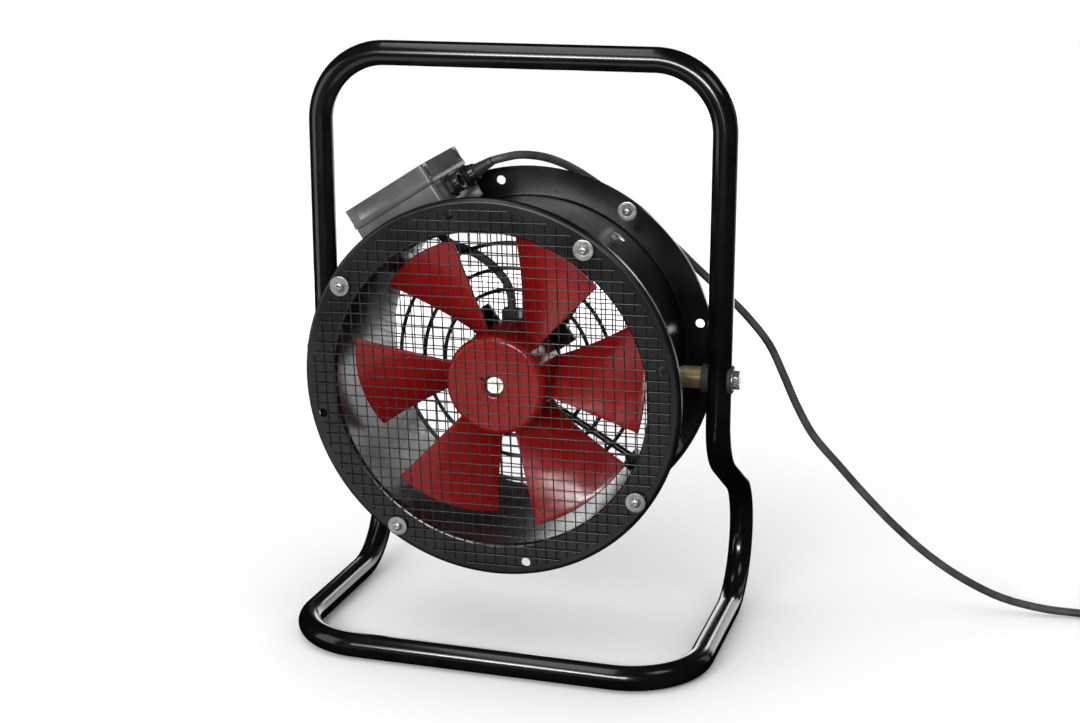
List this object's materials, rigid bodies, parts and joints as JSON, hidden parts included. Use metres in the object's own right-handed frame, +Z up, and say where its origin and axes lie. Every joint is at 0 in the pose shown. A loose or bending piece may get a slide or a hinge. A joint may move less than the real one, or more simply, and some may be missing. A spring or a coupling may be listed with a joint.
{
  "type": "portable axial fan",
  "caption": "Flanged steel duct fan with a red bladed impeller behind wire mesh, tilting in a floor stand of bent black tube, with terminal box and power cord.",
  "frame": {"origin": "on the floor under the middle of the stand's box", "axes": "+Z up, the air outlet faces -Y, +X is to the right of someone facing the outlet"},
  "size_m": [0.9366, 0.4726, 0.607],
  "materials": {
    "black_paint": "satin powder coat",
    "casing_paint": "semi-gloss powder coat",
    "mesh_paint": "satin black coat on welded wire",
    "zinc": "bright zinc plate",
    "yellow_zinc": "yellow passivated zinc plate",
    "rubber": "matt black rubber",
    "label": "plain dark foil label with no print",
    "red_plastic": "glossy red moulding",
    "box_plastic": "dark grey fine-grained moulding",
    "black_plastic": "black moulding",
    "motor_casting": "dark painted casting",
    "rotor_steel": "dark red-brown paint",
    "core_steel": "stacked laminations",
    "copper": "enamelled copper wire",
    "bearing_steel": "ground steel",
    "shaft_steel": "ground steel with a creamy film of grease",
    "cream_plastic": "cream moulding",
    "cord_rubber": "matt black rubber sheath"
  },
  "bodies": {
    "stand": {"stand_hoop": "black_paint", "stand_legs": "black_paint", "stand_heels": "black_paint", "stand_base": "black_paint", "tube_spigots": "zinc", "rubber_washers": "rubber", "pivot_washers": "zinc", "cord_lower": "cord_rubber", "cord_coil": "cord_rubber", "cord_tie": "black_plastic", "power_plug": "black_plastic"},
    "casing": {"pivot_bolts": "zinc", "pivot_nuts": "zinc", "pivot_collars": "zinc", "pivot_sleeves": "yellow_zinc", "duct": "casing_paint", "front_flange": "casing_paint", "rear_flange": "casing_paint", "blank_label": "label", "front_guard": "mesh_paint", "rear_guard": "mesh_paint", "guard_washers": "zinc", "guard_screws": "zinc", "guard_nuts": "zinc", "support_feet": "casing_paint", "support_bolts": "zinc", "support_arms": "casing_paint", "support_rings": "casing_paint", "motor_plate": "casing_paint", "motor_base": "motor_casting", "motor_screws": "zinc", "motor_cable_clamp": "black_plastic", "stator_core": "core_steel", "stator_windings": "copper", "bearings": "bearing_steel", "box_saddle": "casing_paint", "box_screws": "zinc", "box_base": "box_plastic", "box_gasket": "rubber", "box_lid": "box_plastic", "lid_screws": "zinc", "terminal_block": "cream_plastic", "capacitor": "cream_plastic", "cable_glands": "black_plastic", "gland_nuts": "black_plastic", "cable_grommet": "rubber", "motor_cable": "cord_rubber", "cord_boot": "rubber", "cord_upper": "cord_rubber"},
    "impeller": {"rotor_shaft": "shaft_steel", "rotor_can": "rotor_steel", "rotor_ring": "core_steel", "shaft_ring": "cream_plastic", "impeller_hub": "red_plastic", "blade_1": "red_plastic", "blade_2": "red_plastic", "blade_3": "red_plastic", "blade_4": "red_plastic", "blade_5": "red_plastic", "blade_6": "red_plastic"}
  },
  "joints": [
    {"name": "tilt", "type": "hinge", "parent": "stand", "child": "casing", "pos_m": [0, -0.00939, 0.285], "axis": [1, 0, 0], "range_deg": [-60, 60]},
    {"name": "impeller_spin", "type": "hinge", "parent": "casing", "child": "impeller", "pos_m": [0, -0.00939, 0.285], "axis": [0, -0.9986, -0.0523], "continuous": true}
  ]
}
